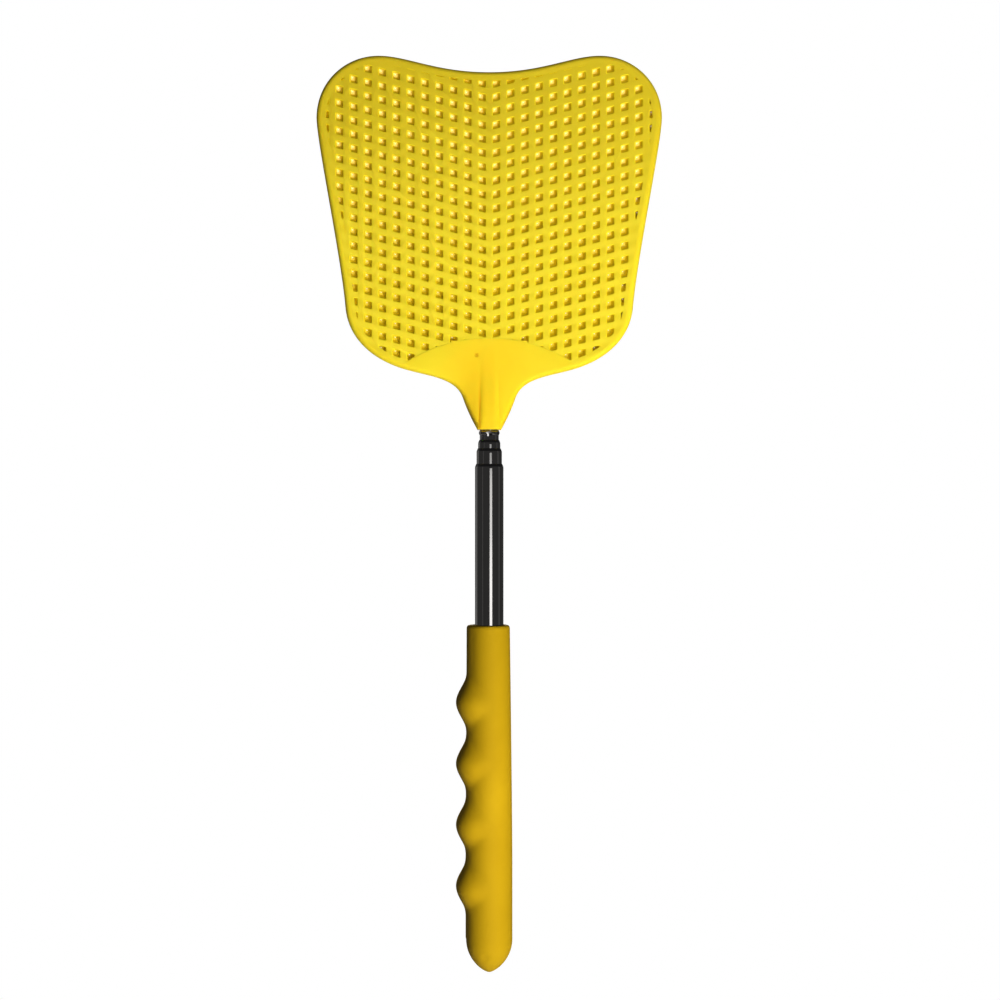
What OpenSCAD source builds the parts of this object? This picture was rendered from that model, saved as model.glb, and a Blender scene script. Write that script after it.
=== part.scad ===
// Telescopic fly swatter, collapsed: a perforated flap on a four-section
// steel tube, with a soft grip. The shaft runs along Z, the flap is up, its
// front faces -Y and the finger ridges face -X. The origin is on the shaft
// axis at the middle of the grip, where a hand holds it.

/* [Grip] */
// Length of the grip, from its closed end to its rim
grip_len = 109.5; // [106:0.5:118]
// Radius of the grip at its rim
grip_rim_r = 6.6; // [6.2:0.1:7]
// Radius of the grip along its lower half
grip_low_r = 7.4; // [7.2:0.1:8]
// How far the finger ridges rise from valley to peak
ridge_height = 3.4; // [3:0.1:4]
// Distance from one finger ridge to the next
ridge_pitch = 19.3; // [18:0.1:20]

/* [Tube] */
// Outer diameter of the thickest section
tube_d = 9; // [9:0.1:9.4]
// Difference in diameter from one section to the next
tube_step = 1; // [1:0.05:1.05]
// Wall thickness of every section
tube_wall = 0.4; // [0.35:0.01:0.42]
// Length of the thickest section
tube_1_len = 150; // [148:0.5:156]
// Length of section 1 that stands out of the grip
tube_1_exposed = 50.8; // [48:0.1:52]
// Length of section 2 that shows when it is pushed in
tube_2_exposed = 4.9; // [2:0.1:8]
// Length of section 3 that shows when it is pushed in
tube_3_exposed = 2.7; // [2:0.1:8]
// Length of section 4 that shows when it is pushed in
tube_4_exposed = 3.2; // [2:0.1:8]

/* [Flap] */
// Half width of the flap at its upper corners
flap_half_w = 54.5; // [50:0.5:58]
// Height of the flap at its two upper corners, above the socket's rim
flap_h = 118; // [112:0.5:124]
// Depth of the dip between the two upper corners
flap_dip = 5.2; // [3:0.1:8]
// Thickness of the perforated sheet
sheet_t = 2.8; // [2:0.1:2.9]
// Thickness of the rim and of the gusset
rim_t = 3; // [2.6:0.1:3.4]
// Width of the solid rim along the sides
rim_side_w = 3.5; // [3:0.1:5]
// Width of the solid rim along the top
rim_top_w = 2.8; // [2.5:0.1:5]

/* [Holes] */
// Distance from one column of holes to the next
hole_pitch_x = 4.49; // [4.2:0.01:5.2]
// Distance from one row of holes to the next
hole_pitch_z = 4.37; // [4.2:0.01:5.2]
// Side of a hole
hole_w = 2.2; // [1.6:0.1:2.4]
// Slope of the V-shaped rows
row_angle = 13.9; // [0:0.1:20]

/* [Hidden] */
$fn = 64;

// Small amount by which a cutter runs past the face it cuts
cut = 0.05;

// --- heights along the shaft ---------------------------------------------
grip_bottom_z = -grip_len / 2;
grip_top_z = grip_len / 2;
mouth_1_z = grip_top_z + tube_1_exposed;
mouth_2_z = mouth_1_z + tube_2_exposed;
mouth_3_z = mouth_2_z + tube_3_exposed;
socket_z = mouth_3_z + tube_4_exposed;
tube_1_bottom_z = mouth_1_z - tube_1_len;

// --- tubes ---------------------------------------------------------------
// Radial play of a section in the rolled-in mouth of the next one
mouth_play = 0.04;
// Height of the rolled-in mouth
mouth_h = 1.4;
// Radial play of a friction sleeve in the bore that it slides in
sleeve_play = 0.02;
// Radial play of a friction sleeve on the neck that turns in it
neck_play = 0.03;
// Depth of the neck that carries the sleeve, below the section's surface
neck_depth = 0.45;
// Height of the neck and of the foot flange that keeps the sleeve on it
neck_h = 7;
foot_h = 0.8;
// How far the foot flange stays below the section's surface
foot_inset = 0.05;
// End play of a sleeve on its neck, and of one section on the next
end_play = 0.1;
// Width of the slit in a friction sleeve
slit_w = 0.8;
// Height of the plug that closes section 1
plug_h = 7;

function tube_r(n) = (tube_d - (n - 1) * tube_step) / 2;
function bore_r(n) = tube_r(n) - tube_wall;
function neck_r(n) = tube_r(n) - neck_depth;
function neck_bore_r(n) = neck_r(n) - tube_wall;

// Each section rests on the step above the neck of the one around it
shoulder_h = foot_h + neck_h;
tube_2_bottom_z = tube_1_bottom_z + plug_h + end_play;
tube_3_bottom_z = tube_2_bottom_z + shoulder_h + tube_wall + end_play;
tube_4_bottom_z = tube_3_bottom_z + shoulder_h + tube_wall + end_play;

// --- grip ----------------------------------------------------------------
// Axis of the round ridges, off the shaft towards the fingers
ridge_axis_x = -3.2;
// Radius of the ridge body between two ridges, inside the round core
ridge_valley_r = 4;
// Height of the lowest ridge above the closed end, and the number of ridges
first_ridge_h = 27.2;
ridge_count = 4;
// Steps in the wave from one valley to the next
ridge_steps = 12;
// Height of the domed end, and where the core starts to taper to the rim
dome_h = 10.5;
taper_h = 35;
// Width of the rounded lip at the rim, and how far its shoulder is bevelled
lip = 0.8;
lip_bevel = 0.24;
// Points of the profile along the dome and along the taper
dome_points = 12;
taper_points = 6;

// Radius of the grip's round core at a height above its closed end
function core_r(h) =
    h < dome_h ? grip_low_r * pow(1 - pow(1 - h / dome_h, 2), 0.7)
    : grip_low_r - (grip_low_r - grip_rim_r) * pow(max(0, h - taper_h) / (grip_len - taper_h), 1.3);

// --- flap ----------------------------------------------------------------
// Depth of the socket that takes section 4, and of the hole for the stud
socket_depth = 5;
stud_hole_depth = 16;
// Radius and collar of the stud that joins section 4 to the flap
stud_r = 1.8;
stud_plug_h = 8;
stud_collar_h = 0.8;
// Half width of the flap at the socket's rim
neck_half_w = 3.7;
// Top of the solid gusset, and the radius of its edge
gusset_top_h = 29;
gusset_r = 49;
gusset_steps = 180;
// Radius and height along the round socket, which thins out up the gusset
boss_profile = [[0, 0], [neck_half_w, 0], [neck_half_w + 0.2, 3], [neck_half_w - 0.1, 7],
                [3.1, 11], [2.7, 16], [1.2, 20.5], [0, 20.5]];
// Steps in each curved stretch of the outline
outline_steps = 12;
// Height at which the lowest row that crosses the centre line meets it, and the
// rows below that one, which only show on both sides of the gusset
first_row_h = 29.9;
rows_below = 3;
hole_rows = 23;
hole_columns = 12;

// Point at parameter t of a cubic curve through four control points
function bezier(p, t) =
    pow(1 - t, 3) * p[0] + 3 * pow(1 - t, 2) * t * p[1]
    + 3 * (1 - t) * t * t * p[2] + pow(t, 3) * p[3];
function bezier_slope(p, t) =
    3 * pow(1 - t, 2) * (p[1] - p[0]) + 6 * (1 - t) * t * (p[2] - p[1])
    + 3 * t * t * (p[3] - p[2]);

// Points where the curves of the outline's right half meet, from the dip down
// to the socket's rim
corner_w = 19.6;
dip = [0, flap_h - flap_dip];
horn = [flap_half_w - corner_w, flap_h];
shoulder = [flap_half_w, flap_h - corner_w];
side_end = [45.3, 38.1];
flank_end = [24.8, 18.6];
neck_top = [8.3, 10.1];
neck_end = [neck_half_w, 0];
// Control points of those curves, as steps away from the points they belong to
dip_after = [17, 0];
horn_before = [-9, 0];
horn_after = [10.6, 0];
shoulder_before = [0, 11.4];
shoulder_after = [-0.2, -8.4];
side_before = [1.3, 15.9];
side_after = [-1.2, -10.4];
flank_before = [10.6, 2.6];
flank_after = [-6.8, -1.8];
neck_before = [2.1, 5.9];
neck_after = [-1.3, -3.9];
end_before = [1.3, 2.2];
outline_curves = [
    [dip, dip + dip_after, horn + horn_before, horn],
    [horn, horn + horn_after, shoulder + shoulder_before, shoulder],
    [shoulder, shoulder + shoulder_after, side_end + side_before, side_end],
    [side_end, side_end + side_after, flank_end + flank_before, flank_end],
    [flank_end, flank_end + flank_after, neck_top + neck_before, neck_top],
    [neck_top, neck_top + neck_after, neck_end + end_before, neck_end],
];
// The rim's inner edge follows the same curves, moved in by the rim's width
function inset_point(p, d, side, top) =
    let (len = norm(d)) p + [d[1] * side, -d[0] * top] / len;
function half_outline(side, top) = [
    for (c = outline_curves, i = [0 : outline_steps - 1])
        let (t = i / outline_steps)
        inset_point(bezier(c, t), bezier_slope(c, t), side, top)
];

module outline(side = 0, top = 0) {
    half = half_outline(side, top);
    left = [for (i = [len(half) - 1 : -1 : 1]) [-half[i][0], half[i][1]]];
    last = side == 0 ? [neck_end, [-neck_half_w, 0]] : [];
    polygon(concat(half, last, left));
}

// Region below the gusset's round upper edge
module gusset_region() {
    translate([0, gusset_top_h - gusset_r]) circle(r = gusset_r, $fn = gusset_steps);
}

// Middle of the hole in a column and a row; the columns count from the centre
function hole_x(column) = (column + 0.5) * hole_pitch_x;
function hole_h(column, row) =
    first_row_h + (row - rows_below) * hole_pitch_z + hole_x(column) * tan(row_angle);

module hole_shape() {
    half = hole_w / 2;
    rise = half * tan(row_angle);
    polygon([[-half, -half - rise], [half, -half + rise],
             [half, half + rise], [-half, half - rise]]);
}

module holes() {
    for (side = [0, 1], column = [0 : hole_columns - 1], row = [0 : hole_rows - 1])
        mirror([side, 0])
            translate([hole_x(column), hole_h(column, row)])
                hole_shape();
}

// The perforated field: holes stop at the rim and at the gusset
module field_holes() {
    intersection() {
        holes();
        difference() {
            outline(rim_side_w, rim_top_w);
            gusset_region();
        }
    }
}

// Round socket that holds the end of section 4, fading into the gusset
module socket_boss() {
    rotate_extrude() polygon(boss_profile);
}

module flap() {
    color("gold")
        translate([0, 0, socket_z])
            difference() {
                union() {
                    // the perforated sheet
                    rotate([90, 0, 0])
                        translate([0, 0, -sheet_t / 2])
                            linear_extrude(height = sheet_t)
                                difference() {
                                    outline(rim_side_w / 2, rim_top_w / 2);
                                    field_holes();
                                }
                    // the thicker rim, and the gusset that carries the socket
                    rotate([90, 0, 0])
                        translate([0, 0, -rim_t / 2])
                            linear_extrude(height = rim_t)
                                difference() {
                                    outline();
                                    difference() {
                                        outline(rim_side_w, rim_top_w);
                                        gusset_region();
                                    }
                                }
                    socket_boss();
                }
                translate([0, 0, -cut]) cylinder(r = tube_r(4), h = socket_depth + cut);
                cylinder(r = stud_r, h = stud_hole_depth);
            }
}

// Turned stud pressed into the end of section 4, its knurled end in the flap
module flap_stud() {
    color("silver")
        translate([0, 0, socket_z + socket_depth])
            rotate_extrude()
                polygon([[0, -stud_plug_h], [bore_r(4), -stud_plug_h], [bore_r(4), -stud_collar_h],
                         [tube_r(4), -stud_collar_h], [tube_r(4), 0], [stud_r, 0],
                         [stud_r, stud_hole_depth - socket_depth], [0, stud_hole_depth - socket_depth]]);
}

// Wall of a sliding section: foot flange, neck, straight tube, rolled-in mouth
module sliding_section(n, bottom_z, top_z, mouth_r) {
    color("dimgray")
        rotate_extrude()
            polygon([[neck_bore_r(n), bottom_z], [tube_r(n) - foot_inset, bottom_z],
                     [tube_r(n) - foot_inset, bottom_z + foot_h],
                     [neck_r(n), bottom_z + foot_h], [neck_r(n), bottom_z + shoulder_h],
                     [tube_r(n), bottom_z + shoulder_h], [tube_r(n), top_z - tube_wall],
                     [tube_r(n) - tube_wall / 2, top_z], [mouth_r, top_z],
                     [mouth_r, top_z - mouth_h], [bore_r(n), top_z - mouth_h - tube_wall],
                     [bore_r(n), bottom_z + shoulder_h + tube_wall],
                     [neck_bore_r(n), bottom_z + shoulder_h + tube_wall]]);
}

module tube_section_1() {
    color("dimgray")
        rotate_extrude()
            polygon([[bore_r(1), tube_1_bottom_z], [tube_r(1), tube_1_bottom_z],
                     [tube_r(1), mouth_1_z - tube_wall], [tube_r(1) - tube_wall / 2, mouth_1_z],
                     [tube_r(2) + mouth_play, mouth_1_z],
                     [tube_r(2) + mouth_play, mouth_1_z - mouth_h],
                     [bore_r(1), mouth_1_z - mouth_h - tube_wall]]);
}

module tube_section_2() {
    sliding_section(2, tube_2_bottom_z, mouth_2_z, tube_r(3) + mouth_play);
}

module tube_section_3() {
    sliding_section(3, tube_3_bottom_z, mouth_3_z, tube_r(4) + mouth_play);
}

// The thinnest section ends under the collar of the stud, with no rolled mouth
module tube_section_4() {
    sliding_section(4, tube_4_bottom_z, socket_z + socket_depth - stud_collar_h, bore_r(4));
}

// Split brass spring sleeve that rides on a neck and rubs in the bore around it
module friction_sleeve(n, bottom_z) {
    color("goldenrod")
        translate([0, 0, bottom_z + foot_h + end_play])
            difference() {
                cylinder(r = bore_r(n - 1) - sleeve_play, h = neck_h - 2 * end_play);
                translate([0, 0, -cut])
                    cylinder(r = neck_r(n) + neck_play, h = neck_h + 2 * cut);
                translate([0, -slit_w / 2, -cut])
                    cube([tube_d, slit_w, neck_h + 2 * cut]);
            }
}

module friction_sleeve_2() {
    friction_sleeve(2, tube_2_bottom_z);
}

module friction_sleeve_3() {
    friction_sleeve(3, tube_3_bottom_z);
}

module friction_sleeve_4() {
    friction_sleeve(4, tube_4_bottom_z);
}

// Plug crimped into the bottom of section 1, where section 2 comes to rest
module base_plug() {
    color("silver")
        translate([0, 0, tube_1_bottom_z])
            cylinder(r = bore_r(1), h = plug_h);
}

// Round core with a domed end; the profile is fine at the dome's tip
module grip_core() {
    dome = [for (i = [1 : dome_points]) dome_h * pow(i / dome_points, 2)];
    taper = [for (i = [0 : taper_points])
        taper_h + (grip_len - lip - taper_h) * i / taper_points];
    rotate_extrude()
        polygon(concat([[0, 0]], [for (h = concat(dome, taper)) [core_r(h), h]],
                       [[grip_rim_r - lip_bevel, grip_len - lip_bevel],
                        [grip_rim_r - lip, grip_len], [0, grip_len]]));
}

// Finger ridges: one turned body beside the core, with a wave in its profile
module finger_ridges() {
    start_h = first_ridge_h - ridge_pitch / 2;
    steps = ridge_count * ridge_steps;
    translate([ridge_axis_x, 0, 0])
        rotate_extrude()
            polygon(concat([[0, start_h]],
                           [for (i = [0 : steps])
                               [ridge_valley_r + ridge_height / 2 * (1 - cos(360 * i / ridge_steps)),
                                start_h + ridge_pitch * i / ridge_steps]],
                           [[0, start_h + ridge_pitch * ridge_count]]));
}

module grip() {
    color("goldenrod")
        difference() {
            translate([0, 0, grip_bottom_z])
                union() {
                    grip_core();
                    finger_ridges();
                }
            translate([0, 0, tube_1_bottom_z])
                cylinder(r = tube_r(1), h = grip_top_z - tube_1_bottom_z + cut);
        }
}

flap();
flap_stud();
tube_section_1();
tube_section_2();
tube_section_3();
tube_section_4();
friction_sleeve_2();
friction_sleeve_3();
friction_sleeve_4();
base_plug();
grip();
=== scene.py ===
"""Looks of the telescopic fly swatter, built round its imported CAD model.

The shaft runs along Z, the flap is up and its front faces -Y. New pieces stand
for the moulded flap, the four tube sections and the grip. The sleeves, the stud
and the plug inside the shaft stay as CAD nodes and get their own materials.
Shapes and the places in materials are in millimetres. Meshes, lights and the
camera are in metres.
"""

import math

import bpy
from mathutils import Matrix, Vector


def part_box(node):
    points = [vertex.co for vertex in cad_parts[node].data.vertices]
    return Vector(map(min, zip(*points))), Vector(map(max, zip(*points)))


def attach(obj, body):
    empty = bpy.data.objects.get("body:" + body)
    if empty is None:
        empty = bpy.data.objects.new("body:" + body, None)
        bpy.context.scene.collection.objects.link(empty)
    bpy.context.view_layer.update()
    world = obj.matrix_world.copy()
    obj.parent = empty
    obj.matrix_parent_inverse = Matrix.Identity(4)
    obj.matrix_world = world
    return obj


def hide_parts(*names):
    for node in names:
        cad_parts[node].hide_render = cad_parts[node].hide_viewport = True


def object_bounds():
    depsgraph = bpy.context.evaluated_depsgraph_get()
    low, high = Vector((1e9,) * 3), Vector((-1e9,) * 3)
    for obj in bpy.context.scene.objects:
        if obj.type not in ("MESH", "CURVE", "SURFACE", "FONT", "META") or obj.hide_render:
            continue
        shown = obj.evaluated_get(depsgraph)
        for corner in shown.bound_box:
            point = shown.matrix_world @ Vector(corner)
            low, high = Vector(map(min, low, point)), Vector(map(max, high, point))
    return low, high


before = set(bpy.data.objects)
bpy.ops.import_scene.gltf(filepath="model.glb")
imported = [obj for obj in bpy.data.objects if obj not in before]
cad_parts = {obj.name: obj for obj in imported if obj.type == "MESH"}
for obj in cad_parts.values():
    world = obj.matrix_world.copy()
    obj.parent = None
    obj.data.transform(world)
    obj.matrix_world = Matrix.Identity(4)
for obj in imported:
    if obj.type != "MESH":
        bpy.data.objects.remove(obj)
CAD_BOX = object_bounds()
MM = 0.001

# --- flap: x to the right, h above the socket's rim, y to the back
FLAP_LOW, FLAP_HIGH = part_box("flap")
SOCKET_Z = FLAP_LOW.z
HALF_W = FLAP_HIGH.x / MM
FLAP_H = (FLAP_HIGH.z - FLAP_LOW.z) / MM
DIP = 5.2  # of the top edge in the middle
CORNER = 19.6  # how far the round upper corners reach
NECK_HALF_W = 3.7
SHEET_HALF_T = 1.4
RIM_HALF_T = 1.5
RIM_SIDE_W = 3.5
RIM_TOP_W = 2.8
RIM_SLOPE = 1.6  # width of the soft step from the sheet up to the rim
GUSSET_TOP = 29.0
GUSSET_R = 49.0
GUSSET_SLOPE = 0.35  # the same at the gusset
CUTTER_HALF_T = RIM_HALF_T + 1
OUTLINE_STEPS = 24
EDGE_STEPS = 12
FIELD_STEPS = 130
ARC_STEPS = 40
SLOPE_STEPS = 6
SEARCH_ROUNDS = 40

# --- lattice
PITCH_X = 4.49
PITCH_H = 4.37
ROW_SLOPE = math.tan(math.radians(13.9))
FIRST_ROW_H = 29.9
ROWS_BELOW = 3  # rows of which only the ends beside the gusset show
ROWS = 23
COLUMNS = 12
SIDE_REACH = 0.45  # how far the outer holes cut into the rim's slope
CORNER_SHARE = 0.3
CORNER_STEPS = 3

# A hole from the front to the back: depth, half size, and where its middle is, to the
# right and up. It is a pocket that slants up to the left, a thin web with a small
# opening, and a shallow pocket at the back.
HOLE_RINGS = [
    (-2.2, 1.35, 0.0, 0.0), (-1.4, 1.35, 0.0, 0.0), (-1.3, 1.16, 0.0, 0.0), (-1.1, 1.08, -0.02, 0.04),
    (0.50, 0.64, -0.40, 0.62), (0.72, 0.15, -0.50, 0.85), (0.95, 0.13, -0.50, 0.88),
    (1.1, 0.90, -0.30, 0.75), (1.4, 1.10, -0.30, 0.60), (2.2, 1.10, -0.30, 0.60),
]

# --- neck: height above the socket's rim, half width of the flat-topped rib, how far the
# rib and the wings beside it rise from the middle plane, and how far out the wings are thick
RIB = [
    (0, 3.45, 3.70, 3.15, 9.0), (3, 3.20, 3.66, 3.02, 9.0), (6, 3.00, 3.45, 2.85, 9.0),
    (10, 2.85, 3.00, 2.52, 9.5), (14, 2.70, 2.50, 2.18, 10.0), (18, 2.45, 2.08, 1.90, 11.0),
    (22, 2.10, 1.75, 1.67, 12.0), (26, 1.60, 1.52, 1.50, 12.0), (28, 1.20, 1.47, 1.46, 12.0),
]
NECK_PARTS = 4
RIB_SIDE = 0.6  # half width of the finely divided strip at each side of the rib
RIB_SIDE_SHARE = 0.6  # most of the wing that this strip may take
RIB_BLEND = 0.2
WING_SINK = 0.03  # how far the wings' ends lie below the rim's surface
MIN_HALF_T = 0.02
BORE_SEGMENTS = 64
SOCKET_R = 3.0
SOCKET_DEPTH = 5.0
SOCKET_CHAMFER = 0.15
STUD_BORE_R = 1.8
STUD_BORE_TOP = 16.0
GATE_X = -4.0
GATE_H = 23.5

# --- grip: h above its lowest point
GRIP_LOW, GRIP_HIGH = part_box("grip")
GRIP_BOTTOM = GRIP_LOW.z / MM
GRIP_LEN = (GRIP_HIGH.z - GRIP_LOW.z) / MM
GRIP_RIM_R = 6.6
GRIP_LOW_R = 7.4
DOME_H = 10.5
DOME_POWER = 0.7
TAPER_H = 35.0
TAPER_POWER = 1.3
SURFACE_SINK = 0.12  # keeps the blended surface inside the CAD box
RIDGE_X = -3.2
RIDGE_VALLEY_R = 4.0
RIDGE_HEIGHT = 3.4
RIDGE_PITCH = 19.3
RIDGE_BLEND = 1.0
FIRST_RIDGE_H = 27.2
RIDGES = 4
RIM_ZONE_H = 1.2
DOME_STEPS = 26
BODY_STEPS = 190
GRIP_SEGMENTS = 72
# How far the rings of the rounded rim lie inside the grip's side and below its top,
# and how far those of the bore's mouth lie outside the bore and below the top
RIM_RINGS = ((0.03, 0.8), (0.15, 0.4), (0.4, 0.12), (0.75, 0.0))
BORE_RINGS = ((0.5, 0.02), (0.15, 0.15), (0.0, 0.5))

# --- tubes
WALL = 0.4
EDGE = 0.08  # rounding of a cut edge
SUPPORT = 0.5  # from an edge to the ring that keeps a wall's shading straight
MOUTH_PLAY = 0.04
MOUTH_H = 1.4
CONE_H = 1.0
LIP = 0.06
NECK_DEPTH = 0.45
NECK_H = 7.0
NECK_ROUND = 0.05
SHOULDER_ROUND = 0.1
FOOT_H = 0.8
FOOT_INSET = 0.05
BEAD_BELOW = 1.7
BEAD_H = 1.4
BEAD_DEPTH = 0.28
CRIMP_BELOW = 2.1
TUBE_SEGMENTS = 96
SECTIONS = {1: "handle", 2: "section_2", 3: "section_3", 4: "swatter_end"}
LAST_SECTION = max(SECTIONS)

# --- colours, as linear red, green and blue; a pair is a material's two mottled tones
RIM_YELLOW = (0.83, 0.665, 0.034), (0.87, 0.72, 0.045)
# painted shade: the rim's yellow made deeper towards the top
RIM_YELLOW_TOP_SHADE = (0.72, 0.57, 0.031)
LATTICE_YELLOW = (0.77, 0.617, 0.032), (0.81, 0.67, 0.042)
# painted shade: the lattice's yellow made deeper towards the top
LATTICE_YELLOW_TOP_SHADE = (0.695, 0.552, 0.030)
# painted light: a lighter yellow on the ribs between the rows, where they catch the light
LATTICE_RIB_LIT = (0.85, 0.71, 0.052)
GUSSET_WARM = (0.92, 0.66, 0.030)
# painted shade: orange shade down the left flank of the neck's rib
RIB_FLANK_SHADE = (0.94, 0.58, 0.018)
# painted shade: darkens the gate's dimple
GATE_DIMPLE_SHADE = (0.72, 0.45, 0.012)
# painted fill light: a lighter yellow on the holes' walls, which lifts their shade
HOLE_YELLOW_LIT = (0.83, 0.67, 0.020), (0.87, 0.72, 0.028)
# painted light and shade: the web pale at the top, as if lit through from behind, and darker lower down
WEB_LIGHT_LOW = (0.70, 0.58, 0.06)
WEB_LIGHT_HIGH = (0.90, 0.76, 0.27)
GRIP_AMBER = (0.525, 0.342, 0.009), (0.59, 0.392, 0.012)
# painted shade: the grip's amber made deeper towards its top
GRIP_AMBER_TOP_SHADE = (0.485, 0.32, 0.008)
# painted shade: the grip's amber made deeper towards its tip
GRIP_AMBER_TIP_SHADE = (0.505, 0.333, 0.009)
STEEL_GREY = (0.35, 0.34, 0.33), (0.5, 0.49, 0.47)
BRASS_GOLD = (0.55, 0.36, 0.12), (0.68, 0.47, 0.17)
CHROME_GREY = (0.40, 0.39, 0.38), (0.46, 0.45, 0.44)
# painted shade: a dark grey for the mouths' cone and lip
LIP_SHADE_GREY = (0.14, 0.14, 0.14), (0.18, 0.18, 0.175)


# --- mesh helpers ----------------------------------------------------------
def make_object(name, points, faces):
    """A mesh object from points in metres."""
    mesh = bpy.data.meshes.new(name)
    mesh.from_pydata([tuple(p) for p in points], [], faces)
    mesh.update()
    obj = bpy.data.objects.new(name, mesh)
    bpy.context.scene.collection.objects.link(obj)
    return obj


def skin(rings, start=0, ends="capped"):
    """Faces over closed rings of equally many points; the ends are capped or joined."""
    count = len(rings[0])
    faces = []
    pairs = [(i, i + 1) for i in range(len(rings) - 1)]
    if ends == "joined":
        pairs.append((len(rings) - 1, 0))
    for a, b in pairs:
        for i in range(count):
            j = (i + 1) % count
            faces.append((a * count + i, a * count + j, b * count + j, b * count + i))
    if ends == "capped":
        faces.append(tuple(reversed(range(count))))
        faces.append(tuple(range((len(rings) - 1) * count, len(rings) * count)))
    return [tuple(start + n for n in face) for face in faces]


def loft(name, rings, ends="capped"):
    """A closed body over rings of points in metres."""
    return make_object(name, [p for ring in rings for p in ring], skin(rings, ends=ends))


def full_turn(segments):
    """Angles of the points round a full circle."""
    return [2 * math.pi * i / segments for i in range(segments)]


def lathe(name, profile, segments):
    """A turned body from a closed loop of (radius, z); its faces go ring by ring."""
    rings = [[Vector((r * math.cos(a), r * math.sin(a), z)) * MM for a in full_turn(segments)]
             for r, z in profile]
    return loft(name, rings, ends="joined")


def unit_ball(steps, segments):
    """Rings of a ball of radius 1 from one pole to the other, without the poles."""
    polars = [math.pi * i / steps for i in range(1, steps)]
    return [[Vector((math.sin(p) * math.cos(a), math.sin(p) * math.sin(a), math.cos(p)))
             for a in full_turn(segments)] for p in polars]


def apply_modifiers(obj):
    """Replaces the mesh with the one that its modifiers make."""
    graph = bpy.context.evaluated_depsgraph_get()
    mesh = bpy.data.meshes.new_from_object(obj.evaluated_get(graph), depsgraph=graph)
    obj.modifiers.clear()
    old = obj.data
    obj.data = mesh
    bpy.data.meshes.remove(old)


def combine(obj, other, operation):
    """Applies a boolean with other to obj, and removes other."""
    modifier = obj.modifiers.new("combine", "BOOLEAN")
    modifier.operation = operation
    modifier.solver = "MANIFOLD"
    modifier.object = other
    apply_modifiers(obj)
    bpy.data.objects.remove(other)


def face_outwards(obj):
    """Turns a closed mesh inside out if its volume is negative."""
    volume = 0.0
    for p in obj.data.polygons:
        corners = [obj.data.vertices[i].co for i in p.vertices]
        for i in range(1, len(corners) - 1):
            volume += corners[0].dot(corners[i].cross(corners[i + 1]))
    if volume < 0:
        obj.data.flip_normals()
    return obj


def shade(obj, sharp_degrees):
    """Smooth shading, with edges sharper than the angle kept sharp."""
    obj.data.shade_smooth()
    obj.data.set_sharp_from_angle(angle=math.radians(sharp_degrees))
    return obj


def coated(obj, coats, index=0):
    """Gives a mesh the list of materials, and all its faces one of them."""
    for mat in coats:
        obj.data.materials.append(mat)
    for p in obj.data.polygons:
        p.material_index = index
    return obj


def search(low, high, before):
    """The place between low and high where before stops being true."""
    for _ in range(SEARCH_ROUNDS):
        middle = (low + high) / 2
        if before(middle):
            low = middle
        else:
            high = middle
    return low


def smooth_max(a, b, k):
    share = max(0.0, min(1.0, 0.5 + 0.5 * (a - b) / k))
    return b + (a - b) * share + k * share * (1 - share)


# --- flap ------------------------------------------------------------------
def flap_point(x, h, y):
    return Vector((x * MM, y * MM, SOCKET_Z + h * MM))


def outline_curves():
    """Cubic curves of the right half, from the dip down to the socket's rim."""
    dip = Vector((0, FLAP_H - DIP))
    horn = Vector((HALF_W - CORNER, FLAP_H))
    shoulder = Vector((HALF_W, FLAP_H - CORNER))
    side = Vector((45.3, 38.1))
    flank = Vector((24.8, 18.6))
    neck = Vector((8.3, 10.1))
    end = Vector((NECK_HALF_W, 0))
    return [
        (dip, dip + Vector((17, 0)), horn - Vector((9, 0)), horn),
        (horn, horn + Vector((10.6, 0)), shoulder + Vector((0, 11.4)), shoulder),
        (shoulder, shoulder - Vector((0.2, 8.4)), side + Vector((1.3, 15.9)), side),
        (side, side - Vector((1.2, 10.4)), flank + Vector((10.6, 2.6)), flank),
        (flank, flank - Vector((6.8, 1.8)), neck + Vector((2.1, 5.9)), neck),
        (neck, neck - Vector((1.3, 3.9)), end + Vector((1.3, 2.2)), end),
    ]


CURVES = outline_curves()
# Places along the curves, between which the rim meets the gusset, and the flank's end
RIM_MEETS_GUSSET = 2.0, 4.6
BELOW_FLANK = 3.6, float(len(CURVES))


def on_outline(s, side, top):
    """Point at s along the right half, moved in by side in x and by top in h."""
    index = min(int(s), len(CURVES) - 1)
    t = s - index
    a, b, c, d = CURVES[index]
    point = (1 - t) ** 3 * a + 3 * (1 - t) ** 2 * t * b + 3 * (1 - t) * t * t * c + t ** 3 * d
    slope = (1 - t) ** 2 * (b - a) + 2 * (1 - t) * t * (c - b) + t * t * (d - c)
    slope.normalize()
    return point + Vector((slope.y * side, -slope.x * top))


def half_width_at(h):
    """Half width of the outline at a height below the flank."""
    return on_outline(search(*BELOW_FLANK, lambda s: on_outline(s, 0, 0).y > h), 0, 0).x


def outline_loop(inset):
    """The whole outline, moved in; its first point is on the centre line."""
    steps = OUTLINE_STEPS * len(CURVES)
    half = [on_outline(i / OUTLINE_STEPS, inset, inset) for i in range(steps + 1)]
    half[0].x = 0
    half[-1].y = 0
    return half + [Vector((-p.x, p.y)) for p in reversed(half[1:])]


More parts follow.
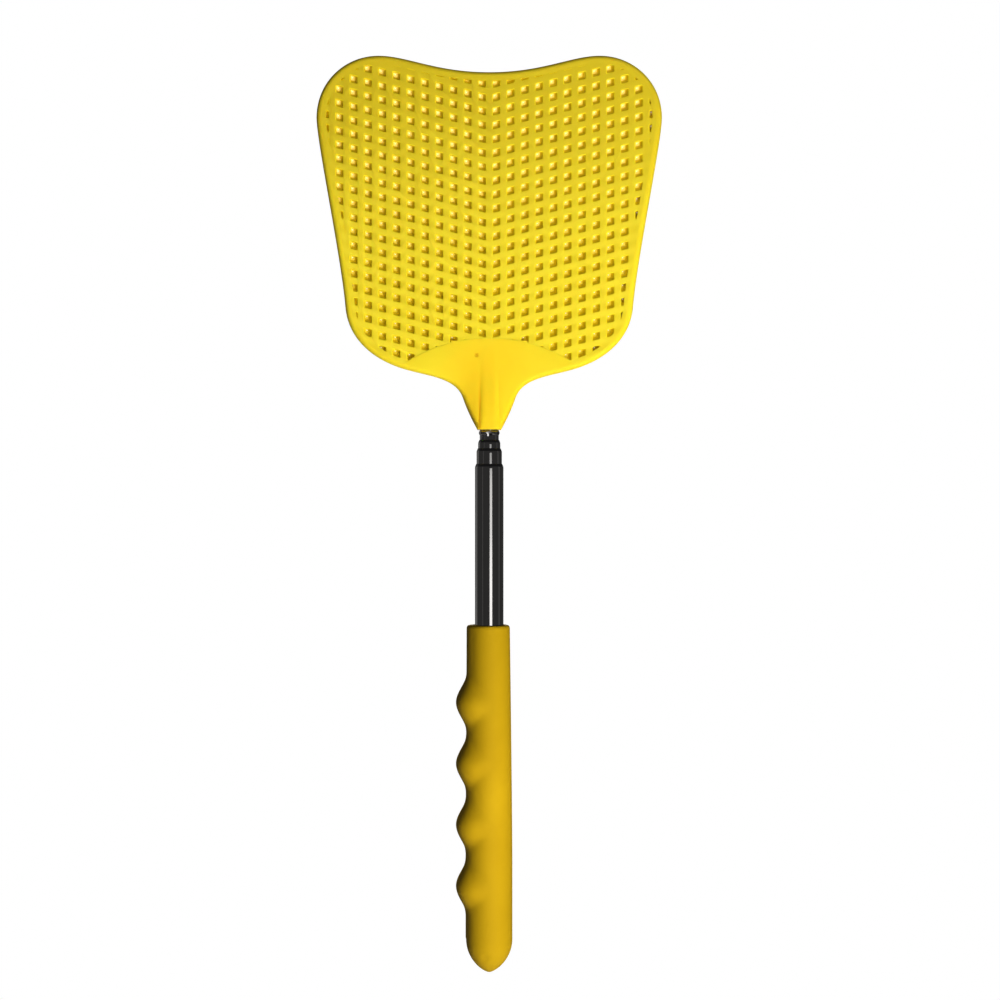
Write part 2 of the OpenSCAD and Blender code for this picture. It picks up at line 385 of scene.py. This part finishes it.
def field_loop(side_grow, top_grow, arc_grow):
    """Edge of the perforated field: the rim's inner edge and the gusset's round top."""
    centre = Vector((0, GUSSET_TOP - GUSSET_R))
    radius = GUSSET_R - arc_grow
    side, top = RIM_SIDE_W - side_grow, RIM_TOP_W - top_grow
    last = search(*RIM_MEETS_GUSSET, lambda s: (on_outline(s, side, top) - centre).length > radius)
    half = [on_outline(last * i / FIELD_STEPS, side, top) for i in range(FIELD_STEPS + 1)]
    half[0].x = 0
    corner = half[-1] - centre
    start = math.atan2(corner.x, corner.y)
    for i in range(1, ARC_STEPS + 1):
        angle = start * (1 - i / ARC_STEPS)
        half.append(centre + radius * Vector((math.sin(angle), math.cos(angle))))
    half[-1].x = 0
    return half + [Vector((-p.x, p.y)) for p in reversed(half[1:-1])]


def stacked(name, loops):
    """A closed body from (loop, y) pairs, from the front to the back."""
    rings = [[flap_point(p.x, p.y, y) for p in loop] for loop, y in loops]
    return face_outwards(loft(name, rings))


def plate():
    """The whole outline as a plate with a full round edge."""
    loops = []
    for i in range(EDGE_STEPS + 1):
        angle = math.radians(-90 + 180 * i / EDGE_STEPS)
        inset = RIM_HALF_T * (1 - math.cos(angle))
        loops.append((outline_loop(inset), RIM_HALF_T * math.sin(angle)))
    return stacked("flap_moulding", loops)


def recess(sign):
    """Cutter that lowers the field below the rim on one side, with a soft step."""
    depth = RIM_HALF_T - SHEET_HALF_T
    loops = [(field_loop(0.0, 0.0, 0.0), SHEET_HALF_T)]
    for i in range(1, SLOPE_STEPS + 1):
        share = i / SLOPE_STEPS
        soft = share * share * (3 - 2 * share)
        edge = field_loop(RIM_SLOPE * share, RIM_SLOPE * share, GUSSET_SLOPE * share)
        loops.append((edge, SHEET_HALF_T + depth * soft))
    loops.append((edge, CUTTER_HALF_T))
    return stacked("recess", [(loop, sign * y) for loop, y in loops])


def rounded_square():
    """Unit square with rounded corners, as a loop of points."""
    points = []
    r = CORNER_SHARE
    for cx, cy, start in ((1, 1, 0), (-1, 1, 90), (-1, -1, 180), (1, -1, 270)):
        for i in range(CORNER_STEPS):
            angle = math.radians(start + 90 * i / (CORNER_STEPS - 1))
            points.append(((1 - r) * cx + r * math.cos(angle), (1 - r) * cy + r * math.sin(angle)))
    return points


def hole_rings(x, h, slope):
    """Rings of one hole, whose upper and lower sides follow the row's slope."""
    shape = rounded_square()
    rings = []
    for y, half, right, up in HOLE_RINGS:
        rings.append([
            flap_point(x + right + u * half, h + up + v * half + u * half * slope, y) for u, v in shape
        ])
    return rings


def hole_cutters():
    """All the holes as one mesh, some of them beyond the field's edge."""
    points, faces = [], []
    for column in range(-COLUMNS, COLUMNS):
        x = (column + 0.5) * PITCH_X
        slope = math.copysign(ROW_SLOPE, x)
        for row in range(ROWS):
            rings = hole_rings(x, FIRST_ROW_H + (row - ROWS_BELOW) * PITCH_H + x * slope, slope)
            faces += skin(rings, start=len(points))
            points += [p for ring in rings for p in ring]
    return face_outwards(make_object("holes", points, faces))


def hole_limits():
    """The field as a thick body, outside which no hole is cut."""
    edge = field_loop(SIDE_REACH, 0.0, 0.0)
    return stacked("field", [(edge, -CUTTER_HALF_T), (edge, CUTTER_HALF_T)])


def neck_places(width, rib_w):
    """Places from the outline in to the centre line, closer together on the rib's side."""
    wing_steps, side_steps, rib_steps = 12, 14, 8
    side = min(RIB_SIDE, RIB_SIDE_SHARE * (width - rib_w))
    places = [width * (1 - i / wing_steps) + (rib_w + side) * i / wing_steps for i in range(wing_steps)]
    places += [rib_w + side - 2 * side * i / side_steps for i in range(side_steps)]
    return places + [(rib_w - side) * (1 - i / rib_steps) for i in range(rib_steps + 1)]


def neck_ring(h, rib_w, rib_top, wing_top, reach):
    """One level of the neck: x and y of its front, and the same at the back."""
    outline_w = half_width_at(h)
    half = []
    for x in neck_places(min(outline_w - MIN_HALF_T, reach), rib_w):
        edge = min(RIM_HALF_T, outline_w - x) / RIM_HALF_T
        fade = math.cos(math.pi / 2 * min(1.0, max(0.0, x - rib_w) / (reach - rib_w))) ** 2
        wing = RIM_HALF_T - WING_SINK + (wing_top - RIM_HALF_T) * fade
        wing *= math.sqrt(max(0.0, edge * (2 - edge)))
        rib = wing_top + (rib_top - wing_top) * (1 - (x / rib_w) ** 4)
        half.append((x, max(MIN_HALF_T, smooth_max(wing, rib, RIB_BLEND))))
    front = [(-x, y) for x, y in half] + [(x, y) for x, y in reversed(half[:-1])]
    loop = [flap_point(x, h, -y) for x, y in front]
    return loop + [flap_point(x, h, y) for x, y in reversed(front)]


def neck():
    """The thick wings and the rib round the socket."""
    rings = []
    for low, high in zip(RIB, RIB[1:]):
        for part in range(NECK_PARTS):
            rings.append(neck_ring(*[a + (b - a) * part / NECK_PARTS for a, b in zip(low, high)]))
    rings.append(neck_ring(*RIB[-1]))
    return face_outwards(loft("neck", rings))


def bore(radius, bottom, top, chamfer):
    """Cutter for a round bore along the shaft, with a chamfer at its bottom."""
    rings = []
    for r, h in ((radius + chamfer, bottom), (radius, bottom + 2 * chamfer), (radius, top)):
        rings.append([flap_point(r * math.cos(a), h, r * math.sin(a)) for a in full_turn(BORE_SEGMENTS)])
    return face_outwards(loft("bore", rings))


def gate_mark():
    """Small flat ball that leaves the dimple of the moulding gate in the gusset's front."""
    radius, squash, depth = 1.6, 0.8, 0.12
    y = -RIM_HALF_T - radius + depth
    rings = [[
        flap_point(GATE_X + radius * p.x, GATE_H + radius * squash * p.y, y - radius * p.z) for p in ring
    ] for ring in unit_ball(steps=12, segments=20)]
    return face_outwards(loft("gate", rings))


def flap_moulding(coats):
    """The moulded flap; its coats are for the rim and gusset, the lattice and the holes."""
    body, lattice, holes = range(3)
    overlap = 0.1
    flap = coated(plate(), coats, body)
    for sign in (-1, 1):
        combine(flap, coated(recess(sign), coats, lattice), "DIFFERENCE")
    cutters = coated(hole_cutters(), coats, holes)
    combine(cutters, coated(hole_limits(), coats, holes), "INTERSECT")
    combine(flap, cutters, "DIFFERENCE")
    combine(flap, coated(neck(), coats, body), "UNION")
    socket = bore(SOCKET_R, -overlap / 2, SOCKET_DEPTH, SOCKET_CHAMFER)
    stud_bore = bore(STUD_BORE_R, SOCKET_DEPTH - overlap, STUD_BORE_TOP, 0.0)
    for cutter in (socket, stud_bore, gate_mark()):
        combine(flap, coated(cutter, coats, body), "DIFFERENCE")
    return shade(flap, sharp_degrees=22)


# --- grip ------------------------------------------------------------------
def core_radius(h):
    if h < DOME_H:
        return GRIP_LOW_R * (1 - (1 - h / DOME_H) ** 2) ** DOME_POWER
    share = max(0.0, h - TAPER_H) / (GRIP_LEN - TAPER_H)
    return GRIP_LOW_R - (GRIP_LOW_R - GRIP_RIM_R) * share ** TAPER_POWER


def ridge_radius(h):
    """Radius of the ridge body at a height, the valley's beyond the ridges."""
    turns = (h - FIRST_RIDGE_H) / RIDGE_PITCH
    if not -0.5 <= turns <= RIDGES - 0.5:
        return RIDGE_VALLEY_R
    return RIDGE_VALLEY_R + RIDGE_HEIGHT / 2 * (1 + math.cos(2 * math.pi * turns))


def grip_radius(angle, h):
    """Distance from the shaft axis to the grip's surface."""
    core = core_radius(h)
    if h <= DOME_H:
        return core - SURFACE_SINK * h / DOME_H
    toward = -RIDGE_X * math.cos(math.pi - angle)
    ridge = toward + math.sqrt(max(0.0, ridge_radius(h) ** 2 - (RIDGE_X * math.sin(angle)) ** 2))
    return smooth_max(core, ridge, RIDGE_BLEND) - SURFACE_SINK


def tip_dimple(x, h):
    """Depth of the small dimple that the mould's gate leaves in front, near the tip."""
    depth, middle_x, middle_h, half_w, half_h = 0.28, -1.2, 5.6, 1.1, 0.9
    away = ((x - middle_x) / half_w) ** 2 + ((h - middle_h) / half_h) ** 2
    return depth * math.exp(-away)


def grip_heights():
    dome = [DOME_H * (i / DOME_STEPS) ** 2 for i in range(1, DOME_STEPS + 1)]
    body_h = GRIP_LEN - RIM_ZONE_H - DOME_H
    return dome + [DOME_H + body_h * i / BODY_STEPS for i in range(1, BODY_STEPS + 1)]


def grip_ring(h, radii):
    """One ring of the grip, from its radius at each angle."""
    return [Vector((r * math.cos(a), r * math.sin(a), GRIP_BOTTOM + h)) * MM
            for r, a in zip(radii, full_turn(GRIP_SEGMENTS))]


def grip_sleeve():
    """The soft sleeve: a closed dome, four ridges, a rounded rim and the tube's bore."""
    angles = full_turn(GRIP_SEGMENTS)
    tube_low, tube_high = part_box("tube_section_1")
    bore_r = tube_high.x / MM
    rings = []
    for h in grip_heights():
        radii = [grip_radius(a, h) for a in angles]
        dents = [tip_dimple(r * math.cos(a), h) if math.sin(a) < 0 else 0
                 for r, a in zip(radii, angles)]
        rings.append(grip_ring(h, [r - dent for r, dent in zip(radii, dents)]))
    for inset, down in RIM_RINGS:
        rings.append(grip_ring(GRIP_LEN - down, [grip_radius(a, GRIP_LEN) - inset for a in angles]))
    for outset, down in BORE_RINGS:
        rings.append(grip_ring(GRIP_LEN - down, [bore_r + outset] * GRIP_SEGMENTS))
    rings.append(grip_ring(tube_low.z / MM - GRIP_BOTTOM, [bore_r] * GRIP_SEGMENTS))
    return shade(face_outwards(loft("grip_sleeve", rings)), sharp_degrees=50)


# --- tubes: profiles of (radius, z), up the outside and down the inside --------
def foot_profile(radius, bottom, shoulder):
    """The foot, the drawn-in neck that carries the sleeve, and the shoulder above it."""
    foot_r = radius - FOOT_INSET
    foot_top = bottom + FOOT_H
    neck_r = radius - NECK_DEPTH
    return [
        (neck_r - WALL, bottom), (foot_r - EDGE, bottom), (foot_r, bottom + EDGE),
        (foot_r, foot_top - EDGE), (foot_r - EDGE, foot_top), (neck_r, foot_top),
        (neck_r, shoulder - NECK_ROUND), (neck_r + NECK_ROUND, shoulder),
        (radius - SHOULDER_ROUND, shoulder), (radius, shoulder + SHOULDER_ROUND),
        (radius, shoulder + SUPPORT),
    ]


def neck_bore_profile(radius, shoulder):
    """The step between the bore and the neck's narrower bore."""
    wide, narrow = radius - WALL, radius - NECK_DEPTH - WALL
    inner = shoulder + WALL
    return [(wide, inner + SHOULDER_ROUND), (wide - SHOULDER_ROUND, inner), (narrow, inner)]


def mouth_profile(radius, mouth, top):
    """The rolled-in mouth: a cone, a small lip and the short bore that guides the next section."""
    cone = top - CONE_H
    round_in, round_up, lip_drop = 0.04, 0.15, 0.1
    return [
        (radius, cone - SUPPORT), (radius, cone), (radius - round_in, cone + round_up),
        (mouth + LIP + EDGE, top - lip_drop), (mouth + LIP, top), (mouth, top - LIP),
        (mouth, top - MOUTH_H), (radius - WALL, top - MOUTH_H - WALL),
    ]


def beaded_end_profile(radius, top):
    """The last section's end: a rolled bead under the flap's socket, and a plain cut edge."""
    low = SOCKET_Z / MM - BEAD_BELOW
    bead = [(radius + BEAD_DEPTH * math.sin(math.radians(a)), low + BEAD_H * a / 180)
            for a in range(0, 181, 20)]
    bore_r = radius - WALL
    outer_round = 0.1
    return [
        (radius, low - SUPPORT), *bead, (radius, top - outer_round), (radius - outer_round, top),
        (bore_r + EDGE, top), (bore_r, top - EDGE),
    ]


def crimp(radius):
    """Ball that leaves the punched dent in front, which holds the stud."""
    ball, depth = 3.0, 0.32
    middle = Vector((0, -(radius + ball - depth), SOCKET_Z / MM - CRIMP_BELOW))
    rings = [[(middle + ball * p) * MM for p in ring] for ring in unit_ball(steps=24, segments=48)]
    return face_outwards(loft("crimp", rings))


def tube_shell(number, coats):
    """One tube section as a fine turned shell; its coats are for the tube, and for the mouth's cone and
    lip, which are painted dark as shade.
    """
    low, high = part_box(f"tube_section_{number}")
    radius, bottom, top = high.x / MM, low.z / MM, high.z / MM
    tube, lip = range(2)
    if number == 1:
        lower = [(radius - WALL, bottom), (radius - EDGE, bottom), (radius, bottom + EDGE),
                 (radius, bottom + SUPPORT)]
        inner = []
    else:
        shoulder = bottom + FOOT_H + NECK_H
        lower = foot_profile(radius, bottom, shoulder)
        inner = neck_bore_profile(radius, shoulder)
    if number == LAST_SECTION:
        upper = beaded_end_profile(radius, top)
    else:
        next_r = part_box(f"tube_section_{number + 1}")[1].x / MM
        upper = mouth_profile(radius, next_r + MOUTH_PLAY, top)
    profile = lower + upper + inner
    shell = coated(face_outwards(lathe(f"tube_shell_{number}", profile, TUBE_SEGMENTS)), coats, tube)
    if number == LAST_SECTION:
        combine(shell, coated(crimp(radius), coats, tube), "DIFFERENCE")
    else:
        # the mouth's cone and lip get the dark painted shade
        cone_rings, cone_start = 2, len(lower) + 2
        for p in shell.data.polygons[cone_start * TUBE_SEGMENTS:(cone_start + cone_rings) * TUBE_SEGMENTS]:
            p.material_index = lip
    return shade(shell, sharp_degrees=30)


# --- material helpers ------------------------------------------------------
MIX_FIRST, MIX_SECOND, MIX_RESULT = 6, 7, 2  # the Mix node's colour sockets
MOTTLE = 0.3, 0.7  # noise levels between which a material's two tones blend
# Where tints, painted shade and painted light fade in: heights above the socket's rim, and y for the last
# two
# the flap's painted shade towards the top fades in between these heights
TOP_SHADE_FADE = 45, 115
GUSSET_FADE = 38, 16
# heights over which the rib's painted shade fades in
RIB_SHADE_FADE = 18, 8
WEB_LIGHT_FADE = 30, 105
WEB_DEPTH = 0.1, 0.5
FRONT_FADE = 0, -0.5


def new_material(name):
    mat = bpy.data.materials.new(name)
    mat.use_nodes = True
    return mat, mat.node_tree, mat.node_tree.nodes["Principled BSDF"]


def node(tree, kind, **values):
    """A node, with its properties or inputs set by name."""
    made = tree.nodes.new(kind)
    for key, value in values.items():
        if hasattr(made, key):
            setattr(made, key, value)
        else:
            made.inputs[key.replace("_", " ")].default_value = value
    return made


def feed(tree, target, value):
    """Links an output to an input, or sets the input to a number or a colour."""
    if isinstance(value, bpy.types.NodeSocket):
        tree.links.new(value, target)
    elif isinstance(value, tuple) and target.type == "RGBA":
        target.default_value = (*value, 1)
    else:
        target.default_value = value


def finish_shader(tree, shader, values):
    for name, value in values.items():
        feed(tree, shader.inputs[name], value)


def object_place(tree):
    return node(tree, "ShaderNodeTexCoord").outputs["Object"]


def object_axes(tree):
    """The object's own X, Y and Z, in metres."""
    split = node(tree, "ShaderNodeSeparateXYZ")
    feed(tree, split.inputs["Vector"], object_place(tree))
    return split.outputs


def noise(tree, scale, detail, stretch=None):
    """Noise in the object's own space, which stretch may scale along each axis first."""
    made = node(tree, "ShaderNodeTexNoise", Scale=scale, Detail=detail)
    place = object_place(tree)
    if stretch is not None:
        mapping = node(tree, "ShaderNodeMapping", Scale=stretch)
        feed(tree, mapping.inputs["Vector"], place)
        place = mapping.outputs["Vector"]
    feed(tree, made.inputs["Vector"], place)
    return made.outputs["Fac"]


def ramp(tree, source, limits, colours):
    """Goes from the first colour to the second between two levels of the source."""
    made = node(tree, "ShaderNodeValToRGB")
    for element, limit, colour in zip(made.color_ramp.elements, limits, colours):
        element.position = limit
        element.color = (*colour, 1)
    feed(tree, made.inputs["Fac"], source)
    return made.outputs["Color"]


def value_between(tree, source, low, high):
    made = node(tree, "ShaderNodeMapRange", To_Min=low, To_Max=high)
    feed(tree, made.inputs["Value"], source)
    return made.outputs["Result"]


def bump(tree, source, distance, strength, under=None):
    """Bump of a height in metres, on top of another one if there is one under it."""
    made = node(tree, "ShaderNodeBump", Strength=strength, Distance=distance)
    feed(tree, made.inputs["Height"], source)
    if under is not None:
        feed(tree, made.inputs["Normal"], under)
    return made.outputs["Normal"]


def calculate(tree, operation, *values):
    """A Math node on sockets and numbers."""
    made = node(tree, "ShaderNodeMath", operation=operation)
    for target, value in zip(made.inputs, values):
        feed(tree, target, value)
    return made.outputs["Value"]


def times(tree, first, second):
    return calculate(tree, "MULTIPLY", first, second)


def blend_colour(tree, share, first, second):
    """Goes from the first colour to the second by share; each is a socket or a colour."""
    made = node(tree, "ShaderNodeMix", data_type="RGBA")
    feed(tree, made.inputs["Factor"], share)
    feed(tree, made.inputs[MIX_FIRST], first)
    feed(tree, made.inputs[MIX_SECOND], second)
    return made.outputs[MIX_RESULT]


def mix_shaders(tree, share, first, second):
    mix = node(tree, "ShaderNodeMixShader")
    for target, value in zip(mix.inputs, (share, first, second)):
        feed(tree, target, value)
    return mix.outputs[0]


def along(tree, axis, start, end):
    """Goes smoothly from 0 at start to 1 at end along one axis of the object."""
    made = node(tree, "ShaderNodeMapRange", interpolation_type="SMOOTHSTEP",
                From_Min=start * MM, From_Max=end * MM)
    feed(tree, made.inputs["Value"], object_axes(tree)[axis])
    return made.outputs["Result"]


def up_flap(tree, start, end):
    """Goes smoothly from 0 to 1 between two heights above the socket's rim."""
    socket_z = SOCKET_Z / MM
    return along(tree, "Z", socket_z + start, socket_z + end)


def spot_along(tree, axis, middle, half_inner, half_outer):
    """1 within half_inner of a place along an axis, and 0 beyond half_outer."""
    rise = along(tree, axis, middle - half_outer, middle - half_inner)
    fall = along(tree, axis, middle + half_outer, middle + half_inner)
    return times(tree, rise, fall)


# --- materials -------------------------------------------------------------
def lattice_ribs(tree):
    """1 on the V-shaped ribs between two rows of holes, and 0 on the rows."""
    axes = object_axes(tree)
    beside = calculate(tree, "ABSOLUTE", axes["X"])
    first_row = calculate(tree, "MULTIPLY_ADD", beside, -ROW_SLOPE, -SOCKET_Z - FIRST_ROW_H * MM)
    height = calculate(tree, "ADD", axes["Z"], first_row)
    wave = calculate(tree, "COSINE", times(tree, height, 2 * math.pi / (PITCH_H * MM)))
    return calculate(tree, "MULTIPLY_ADD", wave, -0.5, 0.5)


def lattice_colour(tree, mottle, high):
    """Yellow with painted light that lightens the ribs and painted shade that deepens it towards the top.
    """
    colour = ramp(tree, mottle, MOTTLE, LATTICE_YELLOW)
    # painted light on the ribs
    colour = blend_colour(tree, lattice_ribs(tree), colour, LATTICE_RIB_LIT)
    # painted shade: deeper yellow towards the top
    return blend_colour(tree, high, colour, LATTICE_YELLOW_TOP_SHADE)


def rim_colour(tree, mottle, high):
    """Yellow with painted shade that deepens it towards the top, warmer on the gusset, with a painted
    orange shade down the rib's left flank and painted shade in the gate's dimple.
    """
    colour = ramp(tree, mottle, MOTTLE, RIM_YELLOW)
    # painted shade: deeper yellow towards the top
    colour = blend_colour(tree, high, colour, RIM_YELLOW_TOP_SHADE)
    warm_x = spot_along(tree, "X", middle=0, half_inner=3, half_outer=20)
    colour = blend_colour(tree, times(tree, warm_x, up_flap(tree, *GUSSET_FADE)), colour, GUSSET_WARM)
    front = along(tree, "Y", *FRONT_FADE)
    # painted orange shade down the rib's left flank, on the front only
    rib_shade_x = spot_along(tree, "X", middle=-3.0, half_inner=0.1, half_outer=0.6)
    rib_shade = times(tree, rib_shade_x, up_flap(tree, *RIB_SHADE_FADE))
    colour = blend_colour(tree, times(tree, front, rib_shade), colour, RIB_FLANK_SHADE)
    # painted shade in the gate's dimple, on the front only
    gate_x = spot_along(tree, "X", middle=GATE_X, half_inner=0.2, half_outer=0.9)
    gate_z = spot_along(tree, "Z", middle=SOCKET_Z / MM + GATE_H, half_inner=0.2, half_outer=0.9)
    gate = times(tree, gate_x, gate_z)
    return blend_colour(tree, times(tree, front, gate), colour, GATE_DIMPLE_SHADE)


def flap_plastic(name, pick_colour):
    """Satin yellow plastic, for the lattice or for the rim, gusset and neck."""
    mat, tree, shader = new_material(name)
    grain = noise(tree, scale=1500, detail=3)
    waves = bump(tree, noise(tree, scale=140, detail=2), distance=0.0002, strength=0.5)
    mottle = noise(tree, scale=55, detail=3)
    finish_shader(tree, shader, {
        "Base Color": pick_colour(tree, mottle, up_flap(tree, *TOP_SHADE_FADE)),
        "Roughness": value_between(tree, grain, low=0.40, high=0.55),
        "Normal": bump(tree, grain, distance=0.00002, strength=0.6, under=waves),
        "Specular IOR Level": 0.35,
        "Subsurface Weight": 0.2,
        "Subsurface Radius": (1.0, 0.6, 0.1),
        "Subsurface Scale": 0.002,
    })
    return mat


def hole_plastic():
    """The same plastic in the holes, with a lighter yellow on the walls as painted fill light, and painted
    light through the web that is palest at the top and darker lower down.
    """
    mat, tree, shader = new_material("hole_plastic")
    mottle = noise(tree, scale=55, detail=3)
    # the lighter wall yellow is painted fill light
    wall = ramp(tree, mottle, MOTTLE, HOLE_YELLOW_LIT)
    # painted light through the web, palest at the top
    web = ramp(tree, up_flap(tree, *WEB_LIGHT_FADE), (0.0, 1.0), (WEB_LIGHT_LOW, WEB_LIGHT_HIGH))
    finish_shader(tree, shader, {
        "Base Color": blend_colour(tree, along(tree, "Y", *WEB_DEPTH), wall, web),
        "Roughness": value_between(tree, mottle, low=0.45, high=0.55),
        "Specular IOR Level": 0.35,
    })
    return mat


def grip_rubber():
    """Soft matt amber rubber with a fine grain, and painted shade that deepens it a little towards both
    ends.
    """
    mat, tree, shader = new_material("grip_rubber")
    grain = noise(tree, scale=2600, detail=4)
    colour = ramp(tree, noise(tree, scale=70, detail=3), MOTTLE, GRIP_AMBER)
    # painted shade towards both ends of the grip
    to_top = along(tree, "Z", start=-5, end=GRIP_HIGH.z / MM)
    colour = blend_colour(tree, to_top, colour, GRIP_AMBER_TOP_SHADE)
    to_tip = along(tree, "Z", start=0, end=GRIP_BOTTOM)
    colour = blend_colour(tree, to_tip, colour, GRIP_AMBER_TIP_SHADE)
    finish_shader(tree, shader, {
        "Base Color": colour,
        "Roughness": value_between(tree, grain, low=0.55, high=0.75),
        "Normal": bump(tree, grain, distance=0.00005, strength=0.8),
        "Specular IOR Level": 0.35,
    })
    return mat


def metal(name, colours, rough, streaks):
    """Drawn or turned metal, with streaks stretched along Z."""
    mat, tree, shader = new_material(name)
    lines = noise(tree, scale=1, detail=4, stretch=streaks)
    finish_shader(tree, shader, {
        "Base Color": ramp(tree, lines, MOTTLE, colours),
        "Roughness": value_between(tree, lines, *rough),
        "Normal": bump(tree, lines, distance=0.000004, strength=0.5),
        "Metallic": 1.0,
    })
    return mat


def put_on_node(name, mat):
    """Gives a CAD node that stays visible its material."""
    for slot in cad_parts[name].material_slots:
        slot.material = mat


# --- stage -----------------------------------------------------------------
def white_world(fill, reflected):
    """White to the camera, one grey level in reflections, and a weak fill for the rest."""
    world = bpy.data.worlds.new("studio")
    bpy.context.scene.world = world
    world.use_nodes = True
    tree = world.node_tree
    tree.nodes.clear()
    path = node(tree, "ShaderNodeLightPath")
    shader = None
    for ray, level in ((None, fill), ("Is Glossy Ray", reflected), ("Is Camera Ray", 1.0)):
        sky = node(tree, "ShaderNodeBackground", Color=(level, level, level, 1), Strength=1.0)
        if shader is None:
            shader = sky.outputs[0]
        else:
            shader = mix_shaders(tree, path.outputs[ray], shader, sky.outputs[0])
    feed(tree, node(tree, "ShaderNodeOutputWorld").inputs["Surface"], shader)


def floor():
    """Pale floor below the object, white to the camera."""
    half, below = 3.0, 0.3
    z = CAD_BOX[0].z - below
    obj = make_object("floor", [(-half, -half, z), (half, -half, z), (half, half, z), (-half, half, z)],
                      [(0, 1, 2, 3)])
    mat, tree, paper = new_material("floor_paper")
    finish_shader(tree, paper, {"Base Color": (0.55, 0.55, 0.55), "Roughness": 0.9})
    glow = node(tree, "ShaderNodeEmission", Strength=1.0)
    camera_ray = node(tree, "ShaderNodeLightPath").outputs["Is Camera Ray"]
    mixed = mix_shaders(tree, camera_ray, paper.outputs[0], glow.outputs[0])
    feed(tree, tree.nodes["Material Output"].inputs["Surface"], mixed)
    coated(obj, [mat])


def softbox(name, azimuth, distance, z, size, power, aim_z=0.08, reflects=True):
    """Area light; azimuth 0 is on the camera's side, and positive is to its right."""
    data = bpy.data.lights.new(name, "AREA")
    data.shape = "RECTANGLE"
    data.size, data.size_y = size
    data.energy = power
    obj = bpy.data.objects.new(name, data)
    angle = math.radians(azimuth)
    obj.location = (distance * math.sin(angle), -distance * math.cos(angle), z)
    direction = Vector((0, 0, aim_z)) - obj.location
    obj.rotation_euler = direction.to_track_quat("-Z", "Y").to_euler()
    obj.visible_camera = False
    obj.visible_glossy = reflects
    bpy.context.scene.collection.objects.link(obj)


def lights():
    """Keys that the metal doesn't reflect, and panels and strips that it does."""
    softbox("key", azimuth=27, distance=0.8, z=-0.2, size=(0.25, 0.3), power=8.2, aim_z=0.12,
            reflects=False)
    softbox("top_panel", azimuth=15, distance=0.5, z=0.6, size=(0.4, 0.4), power=0.4, reflects=False)
    # The tubes' bright stripe comes from three panels, so that it widens downwards
    stripe_h = 0.5
    stripes = ((0.16, 0.25, 0.30), (0.115, 0.27, 0.34), (0.06, 0.34, 0.31))
    for part, (top, width, power) in enumerate(stripes):
        middle = top - stripe_h / 2
        softbox(f"stripe_{part}", azimuth=14, distance=0.75 + 0.02 * part, z=middle,
                size=(width, stripe_h), power=power, aim_z=middle)
    softbox("back_panel", azimuth=180, distance=0.9, z=0.15, size=(0.4, 0.8), power=1.2)
    softbox("back_key", azimuth=190, distance=0.9, z=0.25, size=(0.4, 0.4), power=6.5, reflects=False)
    softbox("left_strip", azimuth=-54, distance=0.9, z=0.08, size=(0.08, 0.9), power=0.03)
    softbox("back_left_panel", azimuth=-128, distance=0.9, z=0.08, size=(0.5, 0.9), power=0.35)
    softbox("right_strip", azimuth=88, distance=0.9, z=0.08, size=(0.2, 0.9), power=0.06)


def camera():
    """Looks straight at the front; the view's width is measured at the shaft."""
    lens, sensor = 70.0, 36.0
    view_width, view_x, view_z = 0.3156, 0.0034, 0.0942
    data = bpy.data.cameras.new("camera")
    data.lens = lens
    data.sensor_width = sensor
    obj = bpy.data.objects.new("camera", data)
    obj.location = (view_x, -view_width * lens / sensor, view_z)
    obj.rotation_euler = (math.radians(90), 0, 0)
    bpy.context.scene.collection.objects.link(obj)
    bpy.context.scene.camera = obj


# --- build -----------------------------------------------------------------
def build():
    coats = [
        flap_plastic("flap_plastic", rim_colour), flap_plastic("lattice_plastic", lattice_colour),
        hole_plastic(),
    ]
    flap = flap_moulding(coats)
    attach(flap, "swatter_end")
    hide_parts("flap")

    grip = coated(grip_sleeve(), [grip_rubber()])
    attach(grip, "handle")
    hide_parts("grip")

    chrome = metal("tube_chrome", CHROME_GREY, rough=(0.06, 0.12), streaks=(900, 900, 15))
    # dark chrome painted as shade on the tubes' mouths
    lip_shade_chrome = metal("lip_shade_chrome", LIP_SHADE_GREY, rough=(0.12, 0.2), streaks=(900, 900, 15))
    for number, body in SECTIONS.items():
        shell = tube_shell(number, [chrome, lip_shade_chrome])
        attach(shell, body)
        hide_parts(f"tube_section_{number}")

    brass = metal("sleeve_brass", BRASS_GOLD, rough=(0.22, 0.4), streaks=(500, 500, 80))
    steel = metal("plug_steel", STEEL_GREY, rough=(0.25, 0.42), streaks=(400, 400, 60))
    for name in ("friction_sleeve_2", "friction_sleeve_3", "friction_sleeve_4"):
        put_on_node(name, brass)
    for name in ("flap_stud", "base_plug"):
        put_on_node(name, steel)


bpy.context.scene.view_settings.view_transform = "Standard"
bpy.context.scene.view_settings.gamma = 0.8
build()
white_world(fill=0.015, reflected=0.10)
floor()
lights()
camera()
